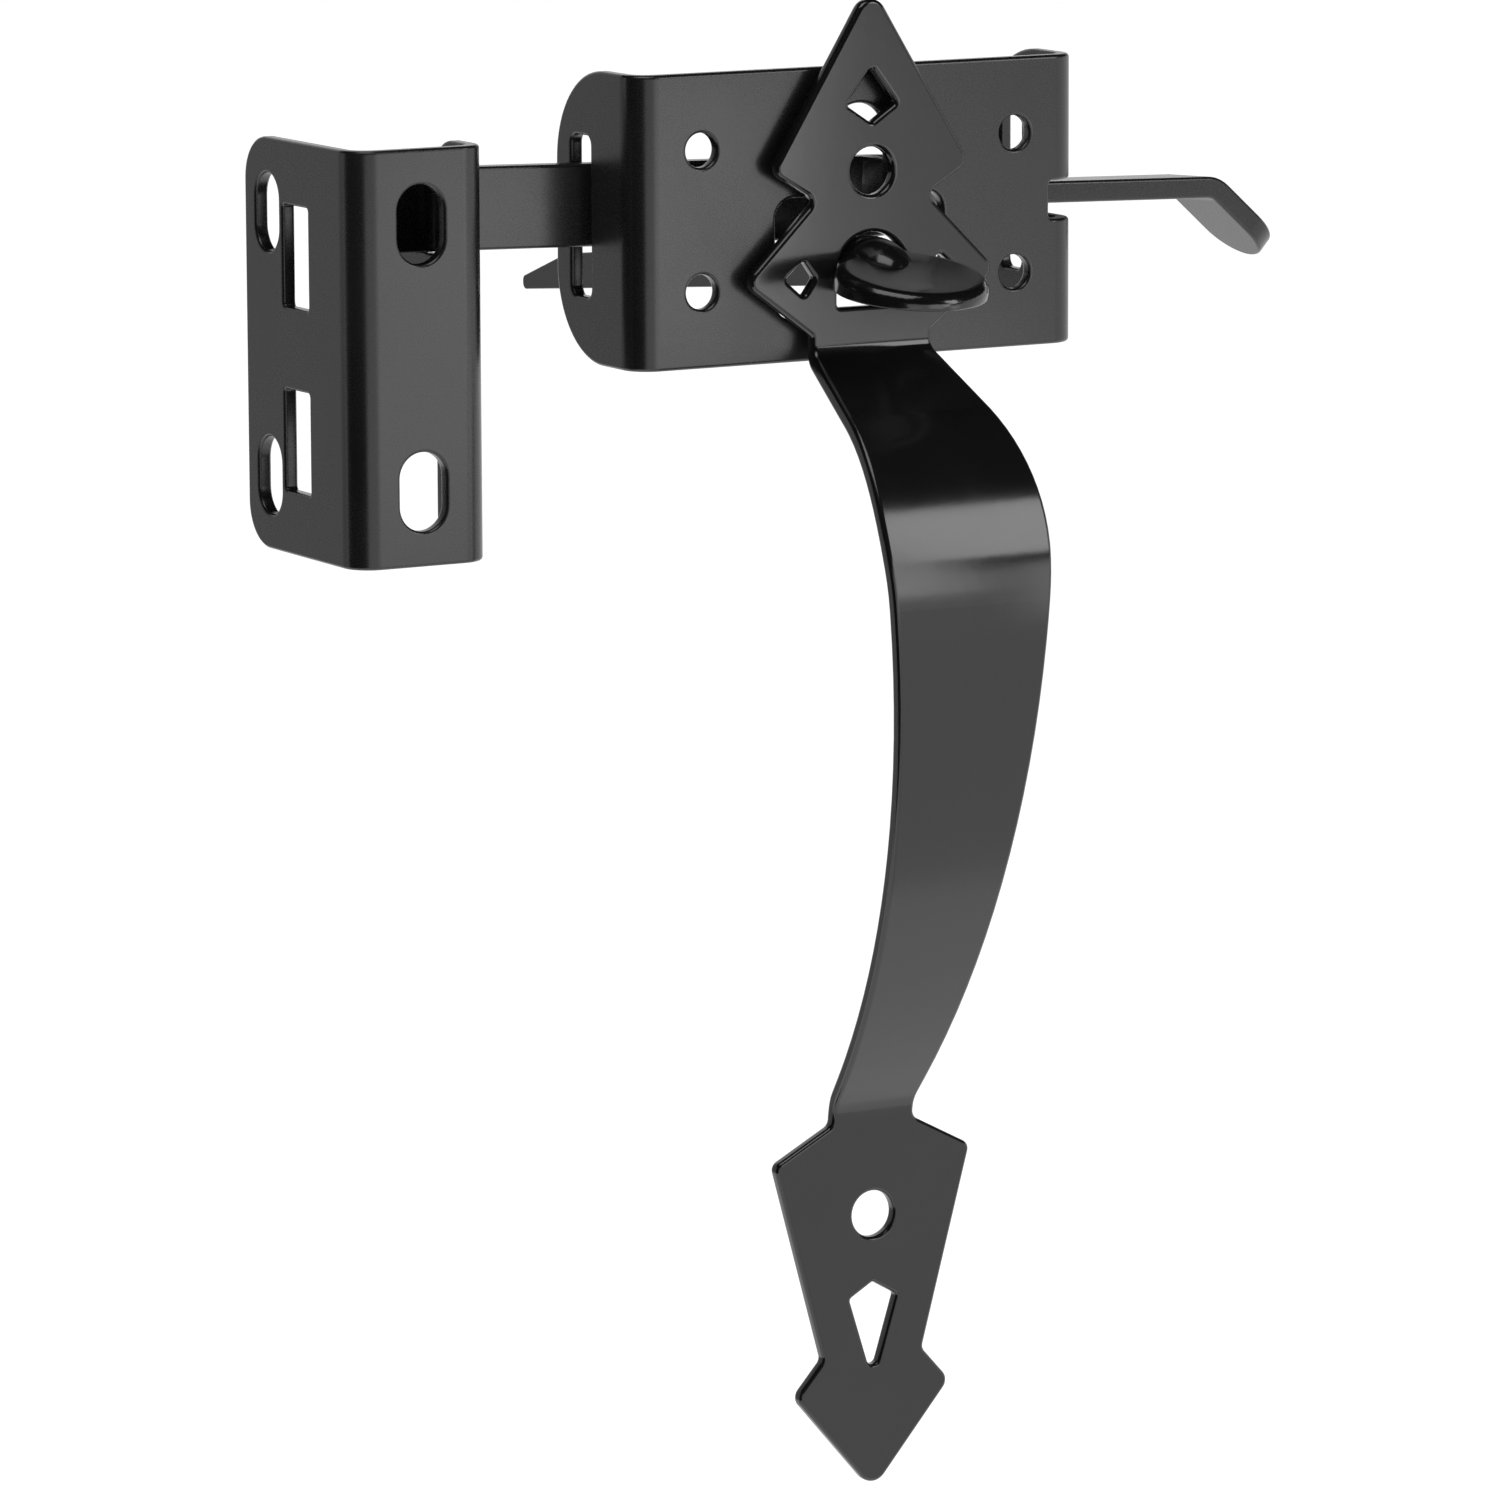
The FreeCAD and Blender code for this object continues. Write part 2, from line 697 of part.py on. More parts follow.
def make_press():
    """The press, its top level in its own frame: round upper edge, hollow underside, lower in front."""
    rim = size("press_rim_height")
    wall = size("press_sheet")
    block = oval_stub(0, -rim, 0)
    upper = [edge for edge in block.Edges if edge.BoundBox.ZMin > -HAIR]
    block = block.makeFillet(size("press_edge_radius"), upper)
    hollow = oval_stub(wall, -2 * rim, -wall)
    ceiling = [edge for edge in hollow.Edges if edge.BoundBox.ZMin > -wall - HAIR]
    hollow = hollow.makeFillet(size("press_inner_radius"), ceiling)
    along = size("press_length")
    rise = along * math.tan(math.radians(size("press_rim_taper")))
    beneath = [(-along / 2, rise - rim, 0), (along / 2, -rim, 0), (along / 2, -2 * rim, 0), (-along / 2, -2 * rim, 0)]
    return place_press(block.cut([hollow, prism(beneath, "YZ", -along, 2 * along)]))


def make_dish():
    """The large ball whose surface leaves the shallow dish in the press."""
    radius = size("press_dish_radius")
    return place_press(Part.makeSphere(radius, V(0, 0, radius - size("press_dish_depth"))))


def press_room():
    """A block that holds the press and the front of the neck, and nothing behind the handle."""
    along = size("press_length")
    front = -2 * along
    return Part.makeBox(2 * along, -front, 2 * along, V(-along, front, -along))


def place_press(shape):
    """A shape of the press's own frame, sloped and moved to its place in front of the arch."""
    middle = -size("handle_sheet") / 2 - size("press_gap") - size("press_length") / 2
    shape.rotate(V(), V(1, 0, 0), size("press_slope"))
    shape.translate(V(0, middle, size("lever_neck_top") + middle * math.tan(math.radians(size("press_slope")))))
    return shape


def neck_outline(high):
    """The neck's section: flat below, its upper corners round to clear the arch."""
    half = size("arch_width") / 2 - size("lever_side_room")
    low = -size("lever_neck_bottom")
    radius = size("lever_neck_radius")
    return [(-half, low, 0), (half, low, 0), (half, high, radius), (-half, high, radius)]


def blade_outline():
    """The blade from the side, its nose cut back from above."""
    slope = math.tan(math.radians(size("blade_slope")))
    thick = size("bar_thickness") / 2
    touch = size("bar_setback") - thick + size("handle_gap") + size("handle_sheet") / 2
    under_bar = bar_underside(size("blade_thickness") / 2) - size("rest_gap") - lever_pivot_height()
    length = size("blade_length")
    nose = length - size("blade_nose_length")

    def upper(y):
        return under_bar - (y - touch) * slope

    def lower(y):
        return upper(y) - size("blade_height")

    start = size("handle_sheet") / 2 + size("press_gap")
    return [
        (start, lower(start), 0), (length, lower(length), size("blade_nose_radius")),
        (length, lower(length) + size("blade_nose_height"), size("blade_nose_radius")),
        (nose, upper(nose), size("blade_nose_length") / 2), (start, upper(start), 0),
    ]


def lever_pivot_height():
    """Height of the rocking line of the thumb lever."""
    return arch_middle() + size("lever_pivot_rise")


def make_thumb_lever():
    half = size("arch_width") / 2 - size("lever_side_room")
    thick = size("blade_thickness") / 2
    reach = size("lever_neck_reach")
    rear = size("handle_sheet") / 2 + size("press_gap")
    start = -rear - size("press_length") / 3
    high = size("lever_neck_top")
    neck = prism(neck_outline(high), "XZ", start, reach - start)
    slope = math.tan(math.radians(size("press_slope")))
    before = start - reach
    wedge = [(before, high + before * slope, 0), (0, high, 0), (0, high + reach, 0), (before, high + reach, 0)]
    neck = neck.cut(prism(wedge, "YZ", -2 * half, 4 * half))

    blade = prism(blade_outline(), "YZ", -thick, 2 * thick)
    taper_end = reach + size("blade_taper")
    taper_plan = [(-half, reach, 0), (half, reach, 0), (thick, taper_end, 0), (-thick, taper_end, 0)]
    taper = prism(taper_plan, "XY", -size("lever_neck_bottom"), high + size("lever_neck_bottom"))
    band = prism(blade_outline(), "YZ", -half, 2 * half)
    taper = taper.common(prism(neck_outline(high), "XZ", reach, size("blade_taper"))).common(band)

    shape = make_press().fuse([neck, taper, blade]).cut(make_dish().common(press_room()))
    lever = made_feature("thumb_lever", shape)
    setback = -size("handle_gap") - size("handle_sheet") / 2
    lever.Placement = FreeCAD.Placement(V(0, setback, lever_pivot_height()), FreeCAD.Rotation())
    return lever


parts = [make_latch_case(), make_strike(), make_latch_bar(), make_handle(), make_thumb_lever()]
doc.recompute()

for item in doc.Objects:
    if "Invalid" in item.State or "Error" in item.State:
        raise RuntimeError(f"{item.Name} failed: {item.State}")
for item in parts:
    if item.Shape.isNull() or not item.Shape.isValid():
        raise RuntimeError(f"{item.Label} is not a valid shape")
    if len(item.Shape.Solids) != 1:
        raise RuntimeError(f"{item.Label} has {len(item.Shape.Solids)} solids")

os.makedirs("parts", exist_ok=True)
for item in parts:
    item.Shape.exportStep(f"parts/{item.Label}.step")
    box = item.Shape.BoundBox
    print(f"{item.Label}: volume {item.Shape.Volume:.0f} x {box.XMin:.1f} {box.XMax:.1f} "
          f"y {box.YMin:.1f} {box.YMax:.1f} z {box.ZMin:.1f} {box.ZMax:.1f}")
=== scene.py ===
import math

import bpy
from mathutils import Euler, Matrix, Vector


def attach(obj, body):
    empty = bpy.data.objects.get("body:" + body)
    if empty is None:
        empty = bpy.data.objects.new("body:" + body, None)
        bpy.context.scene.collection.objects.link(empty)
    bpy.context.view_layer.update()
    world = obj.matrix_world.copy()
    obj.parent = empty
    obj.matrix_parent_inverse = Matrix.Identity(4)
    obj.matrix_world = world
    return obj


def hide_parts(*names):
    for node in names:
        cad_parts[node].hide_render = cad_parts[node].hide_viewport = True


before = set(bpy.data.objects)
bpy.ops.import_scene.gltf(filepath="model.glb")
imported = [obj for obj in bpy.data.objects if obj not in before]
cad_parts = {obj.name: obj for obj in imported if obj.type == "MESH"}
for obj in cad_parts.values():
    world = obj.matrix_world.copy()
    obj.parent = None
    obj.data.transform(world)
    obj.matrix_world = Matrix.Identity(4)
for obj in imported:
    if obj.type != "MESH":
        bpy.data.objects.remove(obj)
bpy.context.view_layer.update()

# The frame is in metres, and the sizes here are written in millimetres.
MM = 0.001

# How a blank is merged, flattened, softened and shaded.
MERGE_WITHIN = 0.002 * MM
FLAT_WITHIN = math.radians(0.6)
SHARP_FROM = math.radians(40.0)
SMOOTH_WITHIN = math.radians(38)
EVEN_SHINE_WEIGHT = 80

# The soft edge of each piece, and the steps that round it.
CASE_EDGE = 0.8 * MM
STRIKE_EDGE = 0.7 * MM
PULL_EDGE = 0.95 * MM
BAR_EDGE = 0.7 * MM
LEVER_EDGE = 0.3 * MM
EDGE_STEPS = 3
PULL_EDGE_STEPS = 4

# Heights of the scores across the case's holes, the strike's slots and the pull's piercings.
CASE_SCORES = (12.6 * MM, -12.6 * MM)
STRIKE_SCORES = (2.85 * MM, -20.0 * MM, -50.15 * MM)
PULL_SCORES = (24.5 * MM, 6.2 * MM, -9.9 * MM, -206.5 * MM, -228.0 * MM)

# The blade's nose, where its upper points start and how far they are raised.
NOSE_START = 139.5 * MM
NOSE_UNDERSIDE = -28.9 * MM
NOSE_RISE = 2.2 * MM
NOSE_REACH = 13.0 * MM

# The neck's saddle: its half sizes, its middle, its flat back and foot, and the tail behind it.
SADDLE_HALF = (7.1 * MM, 12.5 * MM, 7.0 * MM)
SADDLE_MIDDLE = (0.0, -4.2 * MM, -11.5 * MM)
SADDLE_BACK = 3.0 * MM
SADDLE_FOOT = -13.5 * MM
TAIL_STEP = (0.0, 7.0 * MM, -1.6 * MM)
TAIL_SHARE = (0.45, 1.0, 0.6)
MANY_CORNERS = 8

# Grain sizes of the powder, as noise scales over the piece, and the depths of its relief.
PEEL_SCALE = 420.0
GRAIN_SCALE = 2600.0
CLOUD_SCALE = 34.0
SPECK_SCALE = 900.0
PEEL_DEPTH = 0.02 * MM
GRAIN_DEPTH = 0.006 * MM

# Base tones of the coats, which are nearly black, and how strongly they mirror.
PLATE_TONE = (0.0075, 0.0075, 0.0078)
PULL_TONE = (0.0055, 0.0055, 0.0058)
PRESS_TONE = (0.005, 0.005, 0.0053)
COAT_IOR = 1.6

# The pale floor under the latch, and the plain light that the surroundings give.
FLOOR_HEIGHT = -0.62
FLOOR_SIZE = 14.0
FLOOR_TONE = (0.86, 0.86, 0.86, 1.0)
FLOOR_GLOW = 0.55
PLAIN_LIGHT = 0.55
WHITE = (1.0, 1.0, 1.0, 1.0)
BLACK = (0.0, 0.0, 0.0, 1.0)

# The camera's place, its turn in degrees and its lens.
CAMERA_PLACE = (-0.8487, -1.4664, 0.1769)
CAMERA_TURN = (90.0 - 9.621, 0.209, -29.329)
CAMERA_LENS = 201.8
CAMERA_SENSOR = 36.0


# Shaping the sheet steel

def pick_only(piece):
    """Leave one piece selected and active."""
    bpy.ops.object.select_all(action="DESELECT")
    piece.select_set(True)
    bpy.context.view_layer.objects.active = piece


def cut_blank(name, node, levels=()):
    """Take the mesh of a solid as the blank, scored at levels so that no flat has a whole hole in it."""
    blank = bpy.data.objects.new(name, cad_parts[node].data.copy())
    blank.data.name = name
    blank.data.materials.clear()
    bpy.context.scene.collection.objects.link(blank)
    pick_only(blank)
    bpy.ops.object.mode_set(mode="EDIT")
    bpy.ops.mesh.select_mode(type="VERT")
    bpy.ops.mesh.select_all(action="SELECT")
    bpy.ops.mesh.remove_doubles(threshold=MERGE_WITHIN)
    bpy.ops.mesh.customdata_custom_splitnormals_clear()
    for level in levels:
        bpy.ops.mesh.select_all(action="SELECT")
        bpy.ops.mesh.bisect(plane_co=(0.0, 0.0, level), plane_no=(0.0, 0.0, 1.0))
        bpy.ops.mesh.mark_seam()
    bpy.ops.mesh.select_all(action="SELECT")
    bpy.ops.mesh.dissolve_limited(angle_limit=FLAT_WITHIN, delimit={"SEAM"})
    bpy.ops.object.mode_set(mode="OBJECT")
    return blank


def soften_edges(piece, radius, steps=EDGE_STEPS):
    """Round every sharp edge as a tumbled and coated sheet has it, then shade it smooth."""
    bevel = piece.modifiers.new("soft edge", "BEVEL")
    bevel.width = radius
    bevel.segments = steps
    bevel.limit_method = "ANGLE"
    bevel.angle_limit = SHARP_FROM
    bevel.use_clamp_overlap = False
    bevel.loop_slide = False
    bevel.miter_outer = "MITER_ARC"
    pick_only(piece)
    bpy.ops.object.modifier_apply(modifier=bevel.name)
    bpy.ops.object.shade_smooth_by_angle(angle=SMOOTH_WITHIN)
    even = piece.modifiers.new("even shine", "WEIGHTED_NORMAL")
    even.mode = "FACE_AREA"
    even.weight = EVEN_SHINE_WEIGHT
    even.keep_sharp = True
    bpy.ops.object.modifier_apply(modifier=even.name)
    return piece


def fit_piece(piece, node, body, coat):
    """Put the finished piece on its body, in place of the plain solid."""
    piece.data.materials.clear()
    piece.data.materials.append(coat)
    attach(piece, body)
    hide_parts(node)


# Nodes that the coats and the studio share

def new_group(name, numbers, colours, results):
    """An empty node group with named inputs and outputs."""
    group = bpy.data.node_groups.new(name, "ShaderNodeTree")
    for label, value in numbers:
        socket = group.interface.new_socket(label, in_out="INPUT", socket_type="NodeSocketFloat")
        socket.default_value = value
    for label, value in colours:
        socket = group.interface.new_socket(label, in_out="INPUT", socket_type="NodeSocketColor")
        socket.default_value = value
    for label, kind in results:
        group.interface.new_socket(label, in_out="OUTPUT", socket_type=kind)
    return group


def noise(nodes, links, place, scale, detail, roughness):
    """A noise of one size over the piece."""
    node = nodes.new("ShaderNodeTexNoise")
    node.inputs["Scale"].default_value = scale
    node.inputs["Detail"].default_value = detail
    node.inputs["Roughness"].default_value = roughness
    links.new(place, node.inputs["Vector"])
    return node.outputs["Fac"]


def worked(nodes, links, operation, first, second):
    """Two values put together by one operation."""
    node = nodes.new("ShaderNodeMath")
    node.operation = operation
    links.new(first, node.inputs[0])
    links.new(second, node.inputs[1])
    return node.outputs["Value"]


def ranged(nodes, links, value, low, high, start=0.0, end=1.0):
    """A value that runs from start to end, carried over to low and high."""
    node = nodes.new("ShaderNodeMapRange")
    node.inputs["From Min"].default_value = start
    node.inputs["From Max"].default_value = end
    node.inputs["To Min"].default_value = low
    node.inputs["To Max"].default_value = high
    links.new(value, node.inputs["Value"])
    return node.outputs["Result"]


def spread(nodes, links, value, low, high):
    """The middle of a noise, spread between two values."""
    return ranged(nodes, links, value, low, high, start=0.3, end=0.7)


# Powder coat

def speck_mask(nodes, links, place, amount):
    """Tiny dots, as strong as the amount says."""
    cells = nodes.new("ShaderNodeTexVoronoi")
    cells.inputs["Scale"].default_value = SPECK_SCALE
    links.new(place, cells.inputs["Vector"])
    dot = ranged(nodes, links, cells.outputs["Distance"], 0.0, 1.0, start=0.16, end=0.06)
    return worked(nodes, links, "MULTIPLY", dot, amount)


def clouded_tone(nodes, links, tone, cloud):
    """The powder's tone, a little lighter and darker in cloudy patches."""
    patches = nodes.new("ShaderNodeCombineColor")
    light_share = spread(nodes, links, cloud, 0.86, 1.12)
    for channel in ("Red", "Green", "Blue"):
        links.new(light_share, patches.inputs[channel])
    shade = nodes.new("ShaderNodeMix")
    shade.data_type = "RGBA"
    shade.blend_type = "MULTIPLY"
    shade.inputs["Factor"].default_value = 1.0
    links.new(tone, shade.inputs["A"])
    links.new(patches.outputs["Color"], shade.inputs["B"])
    return shade.outputs["Result"]


def relief(nodes, links, height, strength, depth):
    """A bump of one depth, whose normals come out of the node that is given back."""
    bump = nodes.new("ShaderNodeBump")
    bump.inputs["Distance"].default_value = depth
    links.new(strength, bump.inputs["Strength"])
    links.new(height, bump.inputs["Height"])
    return bump


def powder_group():
    """Baked powder: a low orange peel, a fine grain, cloudy patches in tone and shine, tiny specks."""
    group = new_group(
        "baked powder",
        [("Shine Roughness", 0.36), ("Peel Height", 0.5), ("Grain Height", 0.5), ("Speck Amount", 0.5)],
        [("Powder Tone", (0.02, 0.02, 0.021, 1.0)), ("Speck Tone", (0.03, 0.03, 0.03, 1.0))],
        [("Tone", "NodeSocketColor"), ("Roughness", "NodeSocketFloat"), ("Surface", "NodeSocketVector")],
    )
    nodes, links = group.nodes, group.links
    given = nodes.new("NodeGroupInput")
    result = nodes.new("NodeGroupOutput")
    place = nodes.new("ShaderNodeTexCoord").outputs["Object"]
    peel = noise(nodes, links, place, PEEL_SCALE, detail=2.0, roughness=0.45)
    grain = noise(nodes, links, place, GRAIN_SCALE, detail=3.0, roughness=0.6)
    cloud = noise(nodes, links, place, CLOUD_SCALE, detail=4.0, roughness=0.55)

    speckled = nodes.new("ShaderNodeMix")
    speckled.data_type = "RGBA"
    links.new(speck_mask(nodes, links, place, given.outputs["Speck Amount"]), speckled.inputs["Factor"])
    links.new(clouded_tone(nodes, links, given.outputs["Powder Tone"], cloud), speckled.inputs["A"])
    links.new(given.outputs["Speck Tone"], speckled.inputs["B"])
    links.new(speckled.outputs["Result"], result.inputs["Tone"])

    cloudy_shine = spread(nodes, links, cloud, -0.025, 0.03)
    grainy_shine = spread(nodes, links, grain, -0.02, 0.02)
    dull = worked(nodes, links, "ADD", given.outputs["Shine Roughness"], cloudy_shine)
    links.new(worked(nodes, links, "ADD", dull, grainy_shine), result.inputs["Roughness"])

    peel_bump = relief(nodes, links, peel, given.outputs["Peel Height"], PEEL_DEPTH)
    grain_bump = relief(nodes, links, grain, given.outputs["Grain Height"], GRAIN_DEPTH)
    links.new(peel_bump.outputs["Normal"], grain_bump.inputs["Normal"])
    links.new(grain_bump.outputs["Normal"], result.inputs["Surface"])
    return group


def powder_coat(name, group, tone, roughness, peel, grain, specks):
    """A coated finish made from the powder group."""
    finish = bpy.data.materials.new(name)
    finish.use_nodes = True
    nodes, links = finish.node_tree.nodes, finish.node_tree.links
    shader = nodes["Principled BSDF"]
    shader.inputs["IOR"].default_value = COAT_IOR
    powder = nodes.new("ShaderNodeGroup")
    powder.node_tree = group
    powder.inputs["Shine Roughness"].default_value = roughness
    powder.inputs["Peel Height"].default_value = peel
    powder.inputs["Grain Height"].default_value = grain
    powder.inputs["Speck Amount"].default_value = specks
    powder.inputs["Powder Tone"].default_value = (*tone, 1.0)
    links.new(powder.outputs["Tone"], shader.inputs["Base Color"])
    links.new(powder.outputs["Roughness"], shader.inputs["Roughness"])
    links.new(powder.outputs["Surface"], shader.inputs["Normal"])
    return finish


# The five pieces of the latch

def make_case(coat):
    """The folded case that holds the bar."""
    blank = cut_blank("coated_case", "latch_case", CASE_SCORES)
    fit_piece(soften_edges(blank, CASE_EDGE), "latch_case", "fixed", coat)


def make_strike(coat):
    """The folded strike on the post."""
    blank = cut_blank("coated_strike", "strike", STRIKE_SCORES)
    fit_piece(soften_edges(blank, STRIKE_EDGE), "strike", "fixed", coat)


def make_pull(coat):
    """The bowed and pierced pull handle."""
    blank = cut_blank("coated_pull", "handle", PULL_SCORES)
    fit_piece(soften_edges(blank, PULL_EDGE, PULL_EDGE_STEPS), "handle", "fixed", coat)


def make_bar(coat):
    """The twisted latch bar with its finger end."""
    blank = cut_blank("coated_bar", "latch_bar")
    fit_piece(soften_edges(blank, BAR_EDGE), "latch_bar", "bar", coat)


def raise_nose(blank):
    """Lift the upper points of the blade's nose, and less and less of the blade before it."""
    pick_only(blank)
    bpy.ops.object.mode_set(mode="EDIT")
    bpy.ops.mesh.select_all(action="DESELECT")
    bpy.ops.object.mode_set(mode="OBJECT")
    for point in blank.data.vertices:
        point.select = point.co.y > NOSE_START and point.co.z > NOSE_UNDERSIDE
    bpy.ops.object.mode_set(mode="EDIT")
    bpy.ops.transform.translate(
        value=(0.0, 0.0, NOSE_RISE), use_proportional_edit=True,
        proportional_edit_falloff="SMOOTH", proportional_size=NOSE_REACH,
    )
    bpy.ops.object.mode_set(mode="OBJECT")


def make_lever(coat):
    """The dished thumb press with its neck and blade."""
    blank = cut_blank("coated_lever", "thumb_lever")
    raise_nose(blank)
    fit_piece(soften_edges(blank, LEVER_EDGE), "thumb_lever", "thumb", coat)


def part_large_flats(piece):
    """Give each flat with many corners a middle point, so that it parts into the same faces every time."""
    pick_only(piece)
    bpy.ops.object.mode_set(mode="EDIT")
    bpy.ops.mesh.select_mode(type="FACE")
    bpy.ops.mesh.select_all(action="DESELECT")
    bpy.ops.object.mode_set(mode="OBJECT")
    for face in piece.data.polygons:
        face.select = len(face.vertices) > MANY_CORNERS
    bpy.ops.object.mode_set(mode="EDIT")
    bpy.ops.mesh.poke()
    bpy.ops.object.mode_set(mode="OBJECT")


def make_saddle(coat):
    """The rounded saddle of the neck, which fills the arch under its round top."""
    bpy.ops.object.select_all(action="DESELECT")
    bpy.ops.mesh.primitive_uv_sphere_add(segments=48, ring_count=32, radius=1.0, location=(0.0, 0.0, 0.0))
    saddle = bpy.context.active_object
    saddle.name = "neck_saddle"
    bpy.ops.object.mode_set(mode="EDIT")
    bpy.ops.mesh.select_all(action="SELECT")
    bpy.ops.transform.resize(value=SADDLE_HALF)
    bpy.ops.transform.translate(value=SADDLE_MIDDLE)
    bpy.ops.mesh.bisect(
        plane_co=(0.0, SADDLE_BACK, 0.0), plane_no=(0.0, 1.0, 0.0), clear_outer=True, use_fill=True,
    )
    bpy.ops.mesh.extrude_region_move(TRANSFORM_OT_translate={"value": TAIL_STEP})
    bpy.ops.transform.resize(value=TAIL_SHARE)
    bpy.ops.mesh.select_all(action="SELECT")
    bpy.ops.mesh.bisect(
        plane_co=(0.0, 0.0, SADDLE_FOOT), plane_no=(0.0, 0.0, 1.0), clear_inner=True, use_fill=True,
    )
    bpy.ops.mesh.select_all(action="SELECT")
    bpy.ops.mesh.normals_make_consistent(inside=False)
    bpy.ops.object.mode_set(mode="OBJECT")
    part_large_flats(saddle)
    bpy.ops.object.shade_smooth_by_angle(angle=SMOOTH_WITHIN)
    saddle.data.materials.append(coat)
    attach(saddle, "thumb")


powder = powder_group()
plate_coat = powder_coat(
    "plate powder", powder, PLATE_TONE, roughness=0.27, peel=0.55, grain=0.6, specks=0.12,
)
bar_coat = powder_coat(
    "bar powder", powder, PLATE_TONE, roughness=0.27, peel=0.5, grain=0.6, specks=0.12,
)
pull_coat = powder_coat(
    "pull powder", powder, PULL_TONE, roughness=0.16, peel=0.35, grain=0.35, specks=0.06,
)
press_coat = powder_coat(
    "press powder", powder, PRESS_TONE, roughness=0.16, peel=0.3, grain=0.3, specks=0.06,
)

make_case(plate_coat)
make_strike(plate_coat)
make_pull(pull_coat)
make_bar(bar_coat)
make_lever(press_coat)
make_saddle(press_coat)


# Studio

def seen_directly(nodes, links):
    """One for what the camera, a reflection or a clear material sees, and nought for plain lighting."""
    path = nodes.new("ShaderNodeLightPath").outputs
    seen = worked(nodes, links, "MAXIMUM", path["Is Camera Ray"], path["Is Glossy Ray"])
    return worked(nodes, links, "MAXIMUM", seen, path["Is Transmission Ray"])


def pale_floor():
    """A matt pale floor that still reads white where it is seen."""
    finish = bpy.data.materials.new("pale floor")
    finish.use_nodes = True
    nodes, links = finish.node_tree.nodes, finish.node_tree.links
    shader = nodes["Principled BSDF"]
    shader.inputs["Base Color"].default_value = FLOOR_TONE
    shader.inputs["Roughness"].default_value = 0.9
    shader.inputs["Emission Color"].default_value = WHITE
    glow = ranged(nodes, links, seen_directly(nodes, links), 0.0, FLOOR_GLOW)
    links.new(glow, shader.inputs["Emission Strength"])
    return finish


def lay_floor():
    """The studio's floor, well below the latch."""
    bpy.ops.object.select_all(action="DESELECT")
    bpy.ops.mesh.primitive_plane_add(size=FLOOR_SIZE, location=(0.0, 0.0, FLOOR_HEIGHT))
    laid = bpy.context.active_object
    laid.name = "studio_floor"
    laid.data.materials.append(pale_floor())
    return laid


def card(name, place, aim, wide, tall, glow=0.0):
    """A card that shows only in reflections: black without a glow, a soft box with one."""
    bpy.ops.object.select_all(action="DESELECT")
    turn = (Vector(aim) - Vector(place)).to_track_quat("Z", "Y").to_euler()
    bpy.ops.mesh.primitive_plane_add(size=1.0, location=place, rotation=turn)
    board = bpy.context.active_object
    board.name = name
    board.scale = (wide, tall, 1.0)
    finish = bpy.data.materials.new(name + " face")
    finish.use_nodes = True
    shader = finish.node_tree.nodes["Principled BSDF"]
    shader.inputs["Base Color"].default_value = BLACK
    shader.inputs["Specular IOR Level"].default_value = 0.0
    shader.inputs["Emission Color"].default_value = WHITE
    shader.inputs["Emission Strength"].default_value = glow
    board.data.materials.append(finish)
    board.visible_camera = False
    board.visible_diffuse = False
    board.visible_shadow = False
    board.visible_transmission = False
    return board


def white_world():
    """White where it is seen, and plainer where it only lights."""
    world = bpy.data.worlds.new("studio")
    bpy.context.scene.world = world
    world.use_nodes = True
    nodes, links = world.node_tree.nodes, world.node_tree.links
    background = nodes["Background"]
    background.inputs["Color"].default_value = WHITE
    strength = ranged(nodes, links, seen_directly(nodes, links), PLAIN_LIGHT, 1.0)
    links.new(strength, background.inputs["Strength"])


def soft_lamp(name, place, aim, width, watts):
    """A square soft box that points at a place and lights without showing in the coat."""
    light = bpy.data.lights.new(name, "AREA")
    light.shape = "SQUARE"
    light.size = width
    light.energy = watts
    lamp = bpy.data.objects.new(name, light)
    bpy.context.scene.collection.objects.link(lamp)
    lamp.location = place
    lamp.rotation_euler = (Vector(aim) - Vector(place)).to_track_quat("-Z", "Y").to_euler()
    lamp.visible_glossy = False


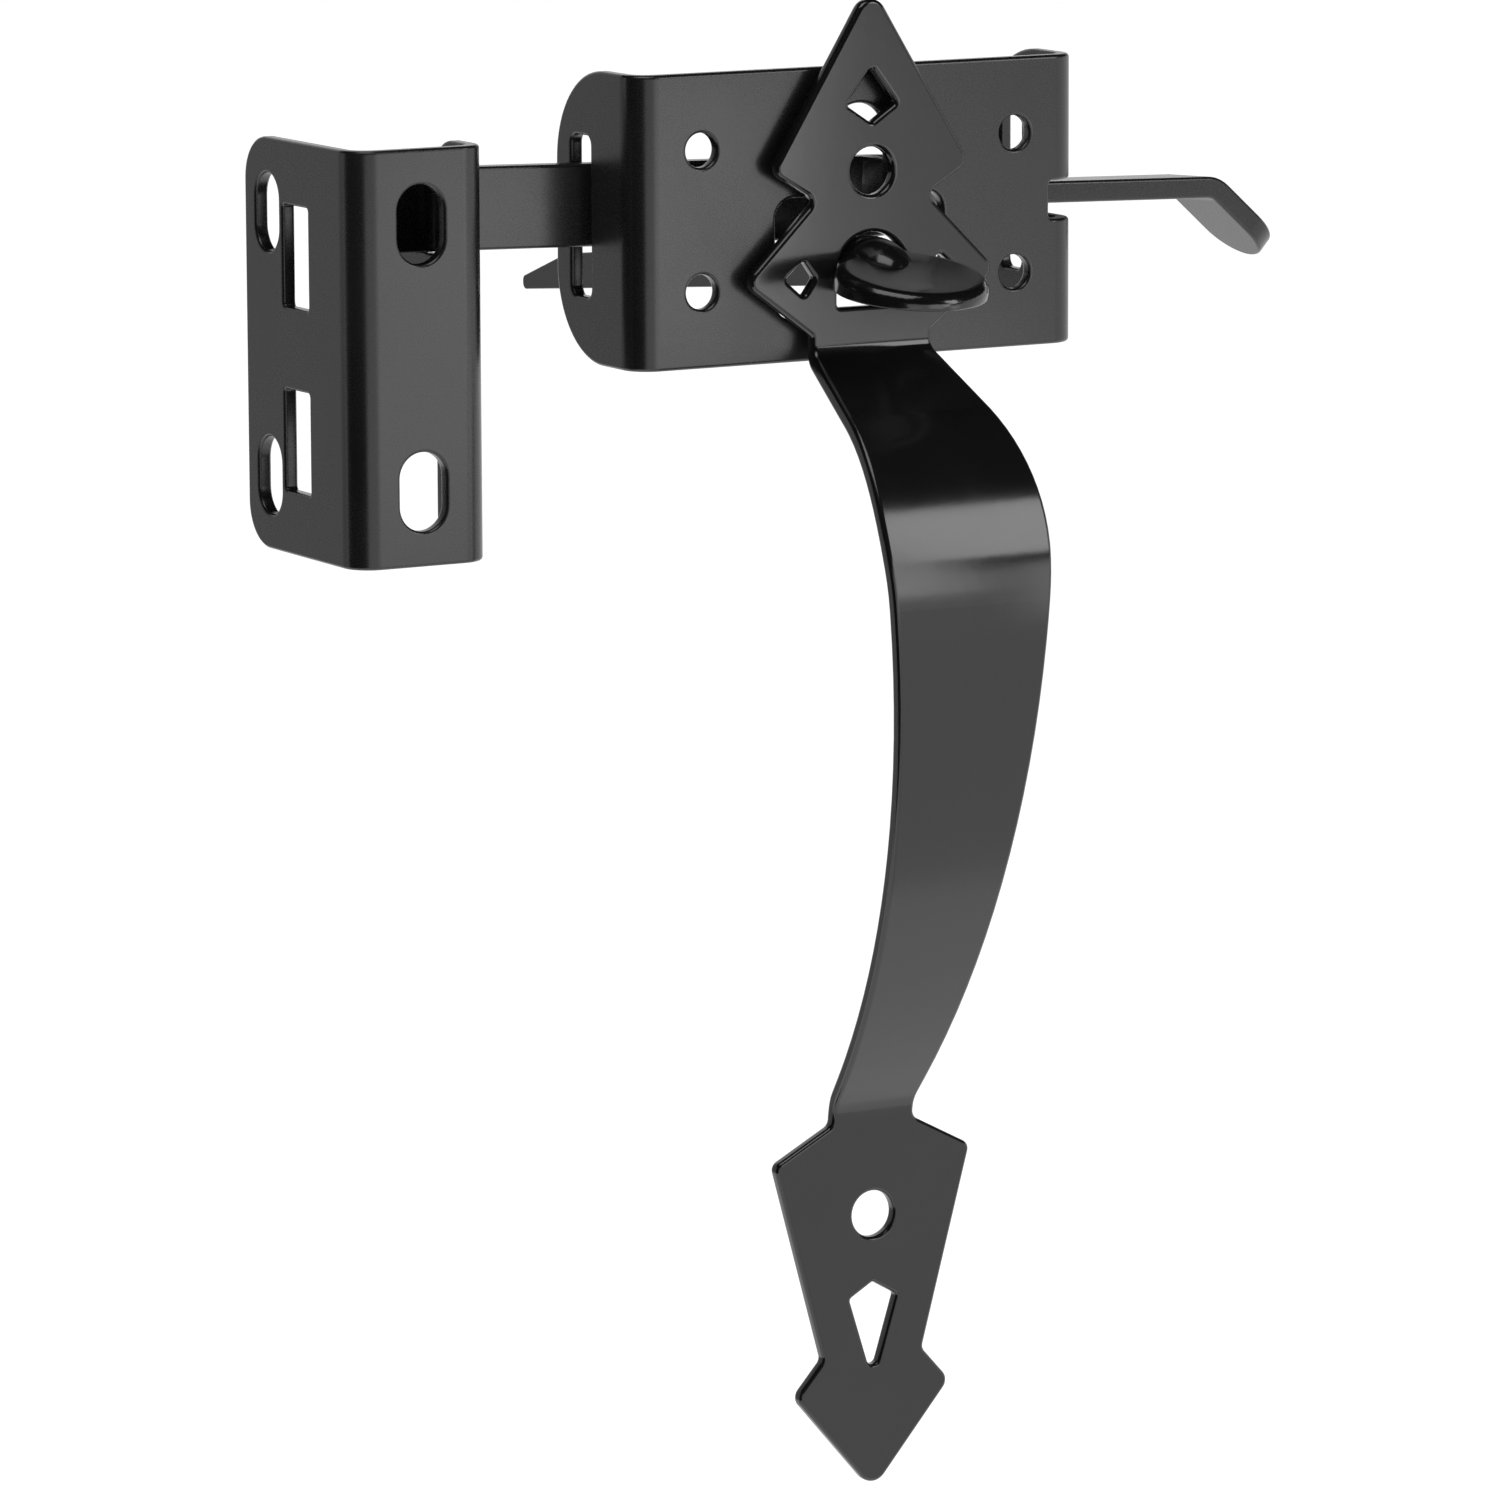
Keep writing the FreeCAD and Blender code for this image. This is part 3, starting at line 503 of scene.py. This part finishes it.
def set_camera():
    """The camera, at the angle from which the latch was photographed."""
    lens = bpy.data.cameras.new("camera")
    lens.lens = CAMERA_LENS
    lens.sensor_width = CAMERA_SENSOR
    camera = bpy.data.objects.new("camera", lens)
    bpy.context.scene.collection.objects.link(camera)
    camera.location = CAMERA_PLACE
    camera.rotation_euler = Euler([math.radians(angle) for angle in CAMERA_TURN], "XYZ")
    bpy.context.scene.camera = camera


floor = lay_floor()

# Black overhead, in front and at the left, with a grey screen behind the left.
overhead = card("overhead_card", (0.3, -0.5, 0.55), (0.3, -0.5, 0.0), wide=3.4, tall=2.9)
front_card = card("front_card", (0.15, -0.75, 0.29), (0.15, 0.0, 0.29), wide=1.6, tall=0.52)
left_side = card("left_card", (-0.8, -0.25, -0.05), (0.0, 0.0, -0.05), wide=1.3, tall=1.6)
left_rear = card(
    "left_rear_card", (-0.75, 0.95, -0.05), (0.0, 0.0, -0.05), wide=1.1, tall=1.6, glow=0.42,
)

# Soft boxes for the strike, the case, the top of the grip, the press and the grip,
# and plain white below, where the lamps would make the floor too bright in the coat.
strike_box = card(
    "strike_box", (0.045, -0.34, -0.055), (-0.13, 0.0, -0.055), wide=0.14, tall=0.17, glow=2.0,
)
case_box = card("case_box", (0.132, -0.33, -0.03), (0.0, 0.0, 0.0), wide=0.060, tall=0.11, glow=3.2)
tall_box = card("tall_box", (0.41, -0.58, 0.27), (0.01, -0.04, -0.05), wide=0.22, tall=0.34, glow=4.2)
roof_box = card("roof_box", (-0.14, -0.12, 0.42), (0.0, -0.03, -0.01), wide=0.34, tall=0.26, glow=2.4)
grip_box = card(
    "grip_box", (0.108, -0.16, -0.075), (0.02, -0.04, -0.075), wide=0.045, tall=0.06, glow=2.0,
)
white_card = card("white_card", (1.2, -2.2, -0.60), (1.2, -2.2, 0.0), wide=3.2, tall=3.6, glow=1.0)

white_world()
soft_lamp("key", (1.1, -1.6, 1.0), (0.0, 0.0, -0.08), width=0.9, watts=24.0)
soft_lamp("fill", (-1.8, -1.3, 0.5), (0.0, 0.0, -0.08), width=1.3, watts=9.0)
set_camera()

bpy.context.scene.view_settings.view_transform = "Standard"
